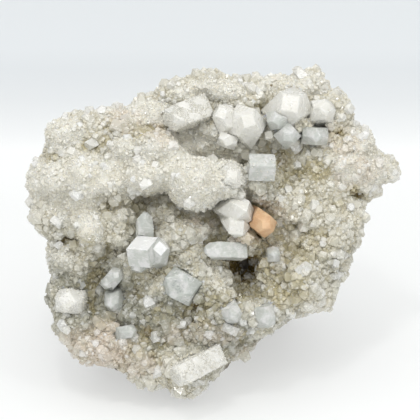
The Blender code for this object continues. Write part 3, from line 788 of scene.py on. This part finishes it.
def frosted_material():
    """Glass with a grey frosted core and pale bands around it, for the crystal seen end-on."""
    cloud = (0.98, 0.975, 0.95, 1)
    material = crystal_material("frosted_apophyllite", colour("clear"), cloud, 1.0, 0.08, 0.3, 0.3)
    nodes = Nodes(material.node_tree)
    shader = material.node_tree.nodes["Principled BSDF"]
    plain = shader.inputs["Base Color"].links[0].from_socket
    place = nodes.place()
    centre = FACE_TO_WORLD @ (FROSTED_CORE * MM)
    far = nodes.add("ShaderNodeVectorMath", {0: place, 1: centre}, operation="DISTANCE").outputs["Value"]
    far = nodes.math("ADD", far, nodes.span(nodes.noise(place, 500, 4, 0.6), 0.3, 0.7, -1.0 * MM, 1.0 * MM))
    speckle = nodes.span(nodes.noise(place, 1300, 3, 0.7), 0.4, 0.6)
    core = nodes.mix(speckle, (0.66, 0.68, 0.68), (1, 1, 1))
    inside = nodes.span(far, 1.6 * MM, 2.6 * MM)
    banded = nodes.mix(nodes.span(far, 3.2 * MM, 4.0 * MM), (1, 1, 1), (0.92, 0.94, 0.94))
    shade = nodes.mix(inside, core, banded)
    nodes.put(shader, {"Base Color": nodes.mix(1.0, plain, shade, "MULTIPLY")})
    return material


def rim_highlight_material():
    """White, slightly rough edges and upward faces of the clear crystals: a painted highlight."""
    body, cloud = (0.95, 0.955, 0.94, 1), (0.99, 0.99, 0.98, 1)
    return crystal_material("crystal_rims", body, cloud, 1.0, 0.12, 0.35, 0.1)


def edged_crystal(node_name, width):
    """A named crystal with narrow bevelled edges; the bevels and some upward faces take a second material."""
    crystal = merged_copy(node_name, node_name.replace("crystal", "grown_crystal").replace("peach", "block"))
    bevel = crystal.modifiers.new("Edges", "BEVEL")
    bevel.width = width
    bevel.segments = 2
    bevel.limit_method = "ANGLE"
    bevel.angle_limit = math.radians(12)
    # Bevel faces take the second material; on the clear crystals it is white, a painted highlight along each
    # edge
    bevel.material = 1
    apply_all(crystal)
    take(crystal)
    bpy.ops.object.shade_smooth_by_angle(angle=math.radians(25))
    mesh = crystal.data
    for face in mesh.polygons:
        # Upward faces of the white-topped crystals take it too: a painted highlight of the light from above
        if node_name in LIT_WHITE_TOPS and face.normal.z > 0.62 and face.area > 12 * MM * MM:
            face.material_index = 1
    chance = np.random.default_rng(len(mesh.polygons))
    facet = mesh.attributes.new("facet", "FLOAT", "FACE")
    facet.data.foreach_set("value", chance.random(len(mesh.polygons)).astype(np.float32))
    return crystal


def dress(node_name, width, slot, *materials):
    """Puts the grown crystal in its node's place; a second material paints highlights on its edges and upward
    faces.
    """
    crystal = edged_crystal(node_name, width)
    for material in materials:
        crystal.data.materials.append(material)
    if len(materials) == 1:
        crystal.data.polygons.foreach_set("material_index", [0] * len(crystal.data.polygons))
    finish_piece(crystal, slot, node_name)


class APOPHYLLITE_OT_clear_crystals(bpy.types.Operator):
    """Gives the clear crystals their edges and glassy faces"""

    bl_idname = "apophyllite.clear_crystals"
    bl_label = "Clear crystals"

    def execute(self, context):
        sizes = context.scene.apophyllite_sizes
        cloud = (0.99, 0.985, 0.965, 1)
        clear = crystal_material("clear_apophyllite", colour("clear"), cloud, 1.0, 0.04, 0.25, 0.32)
        frosted = frosted_material()
        rim_highlights = rim_highlight_material()
        for node_name in CLEAR:
            body = frosted if node_name == "crystal_front_frosted" else clear
            dress(node_name, 3.8 * sizes.edge_width, "apophyllite_clear", body, rim_highlights)
        return {"FINISHED"}


class APOPHYLLITE_OT_milky_crystals(bpy.types.Operator):
    """Gives the milky crystals their edges and pearly faces"""

    bl_idname = "apophyllite.milky_crystals"
    bl_label = "Milky crystals"

    def execute(self, context):
        sizes = context.scene.apophyllite_sizes
        cloud = (0.94, 0.93, 0.89, 1)
        pearly = crystal_material("milky_apophyllite", colour("milky"), cloud, 0.8, 0.15, 0.4, 0.12)
        for node_name in MILKY:
            dress(node_name, 2.6 * sizes.edge_width, "apophyllite_milky", pearly)
        return {"FINISHED"}


class APOPHYLLITE_OT_stilbite(bpy.types.Operator):
    """Gives the stilbite its edges and satin peach faces"""

    bl_idname = "apophyllite.stilbite"
    bl_label = "Stilbite"

    def execute(self, context):
        sizes = context.scene.apophyllite_sizes
        cloud = (0.80, 0.56, 0.34, 1)
        satin = crystal_material("peach_stilbite", colour("stilbite"), cloud, 0.8, 0.3, 0.5, 0.0, 1.5)
        dress("stilbite_peach", 4 * sizes.edge_width, "stilbite", satin)
        return {"FINISHED"}


# Growth strewn over the crust


def scatter(mesh, weights, spacing, chance):
    """Random places on the mesh, at most one to a cell of that spacing: triangle, shares, place."""
    corners = triangles_of(mesh)
    points = places(mesh)
    a, b, c = (points[corners[:, k]] for k in range(3))
    area = np.linalg.norm(np.cross(b - a, c - a), axis=1) / 2
    wanted = area * weights[corners].mean(axis=1)
    total = int(6 * wanted.sum() / spacing**2)
    picked = chance.choice(len(corners), size=total, p=wanted / wanted.sum())
    share = chance.dirichlet((1, 1, 1), size=total)
    spots = (points[corners[picked]] * share[:, :, None]).sum(axis=1)
    cells = np.floor(spots / spacing).astype(int)
    keep = np.unique(cells, axis=0, return_index=True)[1]
    return corners[picked[keep]], share[keep], spots[keep]


def clear_of_crystals(found, reach, limit):
    """The found places less than limit deep in a named crystal; under 0, at least that far outside one.

    Both reach, how far a crystal is looked for, and limit are in millimetres.
    """
    free = depth_in(near_crystals(), found[2], reach * MM) < limit * MM
    return [part[free] for part in found]


def leaning(normals, spread, chance):
    """The normals, each leaning aside at random."""
    axes = normals + chance.normal(0, spread, normals.shape)
    return axes / np.linalg.norm(axes, axis=1)[:, None]


def carried(values, corners, share):
    """A value of the vertices, carried over to places on the triangles."""
    picked = values[corners]
    if picked.ndim == 3:
        return (picked * share[:, :, None]).sum(axis=1)
    return (picked * share).sum(axis=1)


def strewn(name, template, spots, axes, rolls, scales, marks):
    """One mesh of many turned and scaled copies of the template mesh."""
    helper = np.where(np.abs(axes[:, 2:3]) < 0.9, [[0.0, 0.0, 1.0]], [[1.0, 0.0, 0.0]])
    side = np.cross(helper, axes)
    side /= np.linalg.norm(side, axis=1)[:, None]
    other = np.cross(axes, side)
    along = side * np.cos(rolls)[:, None] + other * np.sin(rolls)[:, None]
    across = np.cross(axes, along)
    shape = places(template)
    parts = [
        direction[:, None, :] * (scales[:, k : k + 1] * shape[None, :, k])[:, :, None]
        for k, direction in enumerate((along, across, axes))
    ]
    points = spots[:, None, :] + sum(parts)
    starts = np.arange(len(spots)) * len(shape)
    loops = (starts[:, None] + triangles_of(template).ravel()[None, :]).ravel()
    mesh = bpy.data.meshes.new(name)
    mesh.vertices.add(points.shape[0] * points.shape[1])
    mesh.vertices.foreach_set("co", points.ravel())
    mesh.loops.add(len(loops))
    mesh.loops.foreach_set("vertex_index", loops)
    mesh.polygons.add(len(loops) // 3)
    mesh.polygons.foreach_set("loop_start", np.arange(0, len(loops), 3))
    mesh.update(calc_edges=True)
    mesh.shade_flat()
    for key, values in marks.items():
        store(mesh, key, np.repeat(values, len(shape)))
    return added(name, mesh)


def grain_template():
    """A double pyramid with four sides, 2 long and about 1.3 wide."""
    mesh = bpy.data.meshes.new("grain")
    ring = [(0.65, 0, 0), (0, 0.65, 0), (-0.65, 0, 0), (0, -0.65, 0)]
    faces = [(k, (k + 1) % 4, 4) for k in range(4)] + [((k + 1) % 4, k, 5) for k in range(4)]
    mesh.from_pydata([*ring, (0, 0, 1), (0, 0, -1)], [], faces)
    return mesh


def freed_mesh(obj):
    """The mesh of obj, which is removed."""
    mesh = obj.data
    bpy.data.objects.remove(obj)
    return mesh


def ball_template():
    """A rough ball, 2 wide."""
    deselect()
    bpy.ops.mesh.primitive_ico_sphere_add(subdivisions=2, radius=1)
    return freed_mesh(bpy.context.object)


def block_template():
    """A square prism with a four-sided point, about 2 wide and 3 high."""
    deselect()
    bpy.ops.mesh.primitive_cube_add(size=2)
    block = bpy.context.object
    mode("EDIT")
    bpy.ops.mesh.select_all(action="DESELECT")
    mode("OBJECT")
    for polygon in block.data.polygons:
        polygon.select = polygon.normal.z > 0.9
    mode("EDIT")
    bpy.ops.mesh.poke(offset=0.55)
    mode("OBJECT")
    return freed_mesh(block)


def crystal_template():
    """A square prism 2 high and 2 wide whose upper corners are cut to a blunt point."""
    deselect()
    bpy.ops.mesh.primitive_cube_add(size=2)
    mode("EDIT")
    for side_x in (-1, 1):
        for side_y in (-1, 1):
            bpy.ops.mesh.select_all(action="SELECT")
            bpy.ops.mesh.bisect(
                plane_co=(0, 0, 2.3), plane_no=(0.614 * side_x, 0.614 * side_y, 0.495), use_fill=True,
                clear_outer=True,
            )
    mode("OBJECT")
    return freed_mesh(bpy.context.object)


class APOPHYLLITE_OT_small_crystals(bpy.types.Operator):
    """Strews small glassy crystals between the lumps of the crust"""

    bl_idname = "apophyllite.small_crystals"
    bl_label = "Small crystals"

    def execute(self, context):
        sizes = context.scene.apophyllite_sizes
        chance = np.random.default_rng(5)
        crust = bpy.data.objects["crust"].data
        marks = marks_of(crust)
        face_points = on_face(places(crust))
        glassy = np.maximum(marks["cool"], 0.7 * marks["olive"])
        weights = marks["druse"] * (1 - 0.95 * on_sugar(face_points)) * (0.4 + 0.6 * glassy)
        found = scatter(crust, weights, sizes.crystal_spacing, chance)
        corners, share, spots = clear_of_crystals(found, 2, -0.1)
        axes = leaning(carried(normals_of(crust), corners, share), 0.42, chance)
        half = (0.45 + 1.35 * chance.random(len(spots)) ** 2.4) * MM
        width = half * chance.uniform(0.75, 1.1, len(half))
        scales = np.stack([half, width, half * chance.uniform(0.8, 1.5, len(half))], 1)
        here = {key: carried(marks[key], corners, share) for key in MARKS}
        here["tone"] = chance.random(len(half))
        rolls = chance.uniform(0, math.pi, len(half))
        crystals = strewn("small_crystals", crystal_template(), spots, axes, rolls, scales, here)
        crystals.data.materials.append(small_crystal_material())
        finish_piece(crystals, "apophyllite_clear")
        return {"FINISHED"}


# The growth is one mesh for each stretch of the face: name, lowest and highest u, lowest and highest v.
# END lies past the face's edge on every side.
END = 199
STRETCHES = (("sugar_left", -END, -20, -END, END), ("sugar_right", -20, END, -END, END))
FIELD_STRETCHES = (
    ("field_lower_left", -END, -8, -END, 40), ("field_upper_left", -END, -8, 40, END),
    ("field_low", -8, END, -END, 46), ("field_middle", -8, END, 46, 78),
    ("field_upper_right", -8, END, 78, END),
)
BLOCK_STRETCHES = (("druse_left", -END, -4, -END, END), ("druse_right", -4, END, -END, END))


class APOPHYLLITE_OT_sugar(bpy.types.Operator):
    """Covers the crust in fine glittering sugar"""

    bl_idname = "apophyllite.sugar"
    bl_label = "Sugar"

    def execute(self, context):
        sizes = context.scene.apophyllite_sizes
        chance = np.random.default_rng(9)
        crust = bpy.data.objects["crust"].data
        marks = marks_of(crust)
        roll = on_sugar(on_face(places(crust)))
        druse = ramp(marks["druse"], 0.35, 0.65)
        grain = (grain_template(), sugar_material(), STRETCHES)
        field = (*grain[:2], FIELD_STRETCHES)
        block = (block_template(), block_material(), BLOCK_STRETCHES)
        for weights, spacing, size, lean, (template, material, stretches) in (
            (druse * roll, sizes.roll_spacing, sizes.sugar_size, 0.45, grain),
            (druse * (1 - roll), sizes.field_spacing, 0.9 * sizes.sugar_size, 0.5, field),
            (druse * (1 - 0.78 * roll), sizes.block_spacing, sizes.block_size, 0.55, block),
        ):
            found = scatter(crust, weights, spacing, chance)
            corners, share, spots = clear_of_crystals(found, 1, 0.2)
            normals = carried(normals_of(crust), corners, share)
            axes = leaning(normals, lean, chance)
            spots = spots - normals * (0.25 * size)
            here = {key: carried(marks[key], corners, share) for key in MARKS}
            half = size * (0.6 + 1.2 * chance.random(len(spots)) ** 2.5) * (1 - 0.12 * here["roll"])
            width = half * chance.uniform(0.75, 1.25, len(half))
            scales = np.stack([width, half, half * chance.uniform(0.8, 1.5, len(half))], 1)
            here["tone"] = chance.random(len(half))
            rolls = chance.uniform(0, math.pi, len(half))
            face_points = on_face(spots)
            for name, low_u, high_u, low_v, high_v in stretches:
                inside = (face_points[:, 0] >= low_u) & (face_points[:, 0] < high_u)
                inside &= (face_points[:, 1] >= low_v) & (face_points[:, 1] < high_v)
                local = {key: values[inside] for key, values in here.items()}
                turned = (spots[inside], axes[inside], rolls[inside], scales[inside])
                growth = strewn(name, template, *turned, local)
                growth.data.materials.append(material)
                finish_piece(growth, "drusy_crust")
        coat_crystals(sizes, chance)
        return {"FINISHED"}


def coat_crystals(sizes, chance):
    """Sugar in patches on the crystals that the druse has partly grown over."""
    for node_name, spacing in COATED:
        mesh = bpy.data.objects[node_name.replace("crystal", "grown_crystal")].data
        corners, share, spots = scatter(mesh, np.ones(len(mesh.vertices)), spacing * MM, chance)
        waves = np.sin(spots @ np.array([900.0, 500.0, 700.0]))
        waves = waves + np.sin(spots @ np.array([-400.0, 800.0, 950.0]))
        kept = waves > -0.5
        corners, share, spots = corners[kept], share[kept], spots[kept]
        axes = leaning(carried(normals_of(mesh), corners, share), 0.4, chance)
        half = sizes.sugar_size * (0.6 + 0.8 * chance.random(len(spots)))
        here = {key: np.zeros(len(half)) for key in MARKS}
        here["roll"] += 1
        here["tone"] = chance.random(len(half))
        rolls = chance.uniform(0, math.pi, len(half))
        scales = np.stack([half, half, 1.2 * half], 1)
        name = node_name.replace("crystal", "coat")
        coat = strewn(name, grain_template(), spots, axes, rolls, scales, here)
        coat.data.materials.append(bpy.data.materials["sugar"])
        finish_piece(coat, "drusy_crust")


# Stage

# The camera looks straight at the face: the point it is aimed at, the picture's width and a pixel's width
AIM = Vector((-0.67, 62.5, 0))
PICTURE_PIXELS = 420
MM_PER_PIXEL = 0.336
CAMERA_DISTANCE = 0.8
SENSOR_WIDTH = 36

# The sweep, in metres: its whole width, where its curve starts, the curve's radius and the wall above it
SWEEP_WIDTH = 6
CURVE_START = 0.17
CURVE_RADIUS = 0.08
CURVE_STEPS = 12
WALL_HEIGHT = 0.06

# The lights: name, place, the point that each faces, width and length, power; in metres and watts
LIGHTS = (
    ("overhead", (0.02, -0.12, 1.0), (0, 0, 0), (1.4, 1.2), 6.2),
    ("front", (0.1, -1.3, 0.75), (0, 0, 0.05), (0.8, 0.6), 2.4),
    ("spark_above", (-0.1, -0.3, 0.8), (0, 0, 0.05), (0.09, 0.09), 0.8),
    ("spark_left", (-0.45, -0.7, 0.75), (0, 0, 0.05), (0.09, 0.09), 0.8),
    ("spark_right", (0.5, -0.5, 0.6), (0, 0, 0.05), (0.09, 0.09), 0.7),
)


def softbox(name, place, aim, size, power):
    data = bpy.data.lights.new(name, "AREA")
    data.shape = "RECTANGLE"
    data.size, data.size_y = size
    data.energy = power
    light = added(name, data)
    light.location = place
    light.rotation_euler = (Vector(aim) - Vector(place)).to_track_quat("-Z", "Y").to_euler()


def face_camera(scene):
    behind = Vector((0, -math.cos(LEAN), math.sin(LEAN)))
    camera = added("camera", bpy.data.cameras.new("camera"))
    camera.location = FACE_TO_WORLD @ (AIM * MM) + behind * CAMERA_DISTANCE
    camera.rotation_euler = (-behind).to_track_quat("-Z", "Y").to_euler()
    camera.data.sensor_width = SENSOR_WIDTH
    camera.data.lens = SENSOR_WIDTH * CAMERA_DISTANCE / (PICTURE_PIXELS * MM_PER_PIXEL * MM)
    camera.data.clip_start = 0.05
    scene.camera = camera


def sweep():
    """A floor that curves up into a low wall behind the object."""
    deselect()
    bpy.ops.mesh.primitive_plane_add(size=SWEEP_WIDTH, location=(0, 0, 0))
    floor = bpy.context.object
    floor.name = "floor"
    mode("EDIT")
    bpy.ops.mesh.select_all(action="SELECT")
    bpy.ops.mesh.bisect(plane_co=(0, CURVE_START, 0), plane_no=(0, 1, 0), clear_outer=True)
    bpy.ops.mesh.select_all(action="DESELECT")
    mode("OBJECT")
    for edge in floor.data.edges:
        ends = [floor.data.vertices[index].co.y for index in edge.vertices]
        edge.select = min(ends) > CURVE_START - 0.01
    mode("EDIT")
    bpy.ops.mesh.select_mode(type="EDGE")
    for step in range(CURVE_STEPS):
        angle = math.radians(90 * (step + 0.5) / CURVE_STEPS)
        length = 2 * CURVE_RADIUS * math.sin(math.radians(45 / CURVE_STEPS))
        move = (0, length * math.cos(angle), length * math.sin(angle))
        bpy.ops.mesh.extrude_region_move(TRANSFORM_OT_translate={"value": move})
    bpy.ops.mesh.extrude_region_move(TRANSFORM_OT_translate={"value": (0, 0, WALL_HEIGHT)})
    mode("OBJECT")
    bpy.ops.object.shade_smooth()
    return floor


def sweep_material():
    """Pale paper that glows with its own colour, painted light; a little darker up the wall, painted shade;
    it can be seen through from its back.
    """
    material, nodes, shader = new_material("pale_sweep")
    place = nodes.place()
    place = nodes.add("ShaderNodeSeparateXYZ", {"Vector": place})
    # The wall is painted darker at its foot and a little lighter towards its top: painted shade and light
    high = nodes.span(place.outputs["Z"], 0.006, 0.020)
    wall = nodes.mix(high, (0.345, 0.359, 0.367), (0.374, 0.389, 0.397))
    paper = nodes.mix(nodes.span(place.outputs["Y"], 0.165, 0.215), (0.472, 0.477, 0.474), wall)
    back = nodes.add("ShaderNodeNewGeometry").outputs["Backfacing"]
    # The paper glows with its own colour: painted light that lifts the floor and lightens the shadows on it
    nodes.put(shader, {
        "Base Color": paper, "Emission Color": paper, "Emission Strength": 1.0, "Roughness": 0.7,
        "Specular IOR Level": 0.2, "Alpha": nodes.math("SUBTRACT", 1.0, back),
    })
    return material


class APOPHYLLITE_OT_stage(bpy.types.Operator):
    """Sets the pale sweep, the soft lights and the camera"""

    bl_idname = "apophyllite.stage"
    bl_label = "Stage"

    def execute(self, context):
        scene = context.scene
        face_camera(scene)
        floor = sweep()
        floor.data.materials.append(sweep_material())
        for row in LIGHTS:
            softbox(*row)
        world = bpy.data.worlds.new("studio")
        world.use_nodes = True
        background = world.node_tree.nodes["Background"].inputs
        background["Color"].default_value = (0.98, 0.99, 1.0, 1)
        background["Strength"].default_value = 0.49
        scene.world = world
        scene.view_settings.view_transform = "Standard"
        return {"FINISHED"}


class APOPHYLLITE_PT_panel(bpy.types.Panel):
    """Lists the sizes, the colours and the steps of the growth"""

    bl_label = "Apophyllite cluster"
    bl_idname = "APOPHYLLITE_PT_panel"
    bl_space_type = "VIEW_3D"
    bl_region_type = "UI"
    bl_category = "Apophyllite"

    def draw(self, context):
        for group in (context.scene.apophyllite_sizes, context.scene.apophyllite_colours):
            for key in group.bl_rna.properties.keys():
                if key not in {"rna_type", "name"}:
                    self.layout.prop(group, key)
        for step in STEPS:
            self.layout.operator(step.bl_idname)


STEPS = (
    APOPHYLLITE_OT_crust,
    APOPHYLLITE_OT_clear_crystals,
    APOPHYLLITE_OT_milky_crystals,
    APOPHYLLITE_OT_stilbite,
    APOPHYLLITE_OT_small_crystals,
    APOPHYLLITE_OT_sugar,
    APOPHYLLITE_OT_stage,
)
CLASSES = (APOPHYLLITE_PG_sizes, APOPHYLLITE_PG_colours, *STEPS, APOPHYLLITE_PT_panel)


def register():
    for each in CLASSES:
        bpy.utils.register_class(each)
    bpy.types.Scene.apophyllite_sizes = PointerProperty(type=APOPHYLLITE_PG_sizes)
    bpy.types.Scene.apophyllite_colours = PointerProperty(type=APOPHYLLITE_PG_colours)


def unregister():
    del bpy.types.Scene.apophyllite_colours
    del bpy.types.Scene.apophyllite_sizes
    for each in reversed(CLASSES):
        bpy.utils.unregister_class(each)


def main():
    register()
    for step in STEPS:
        operator = getattr(bpy.ops.apophyllite, step.bl_idname.split(".")[1])
        operator()


if __name__ == "__main__":
    main()
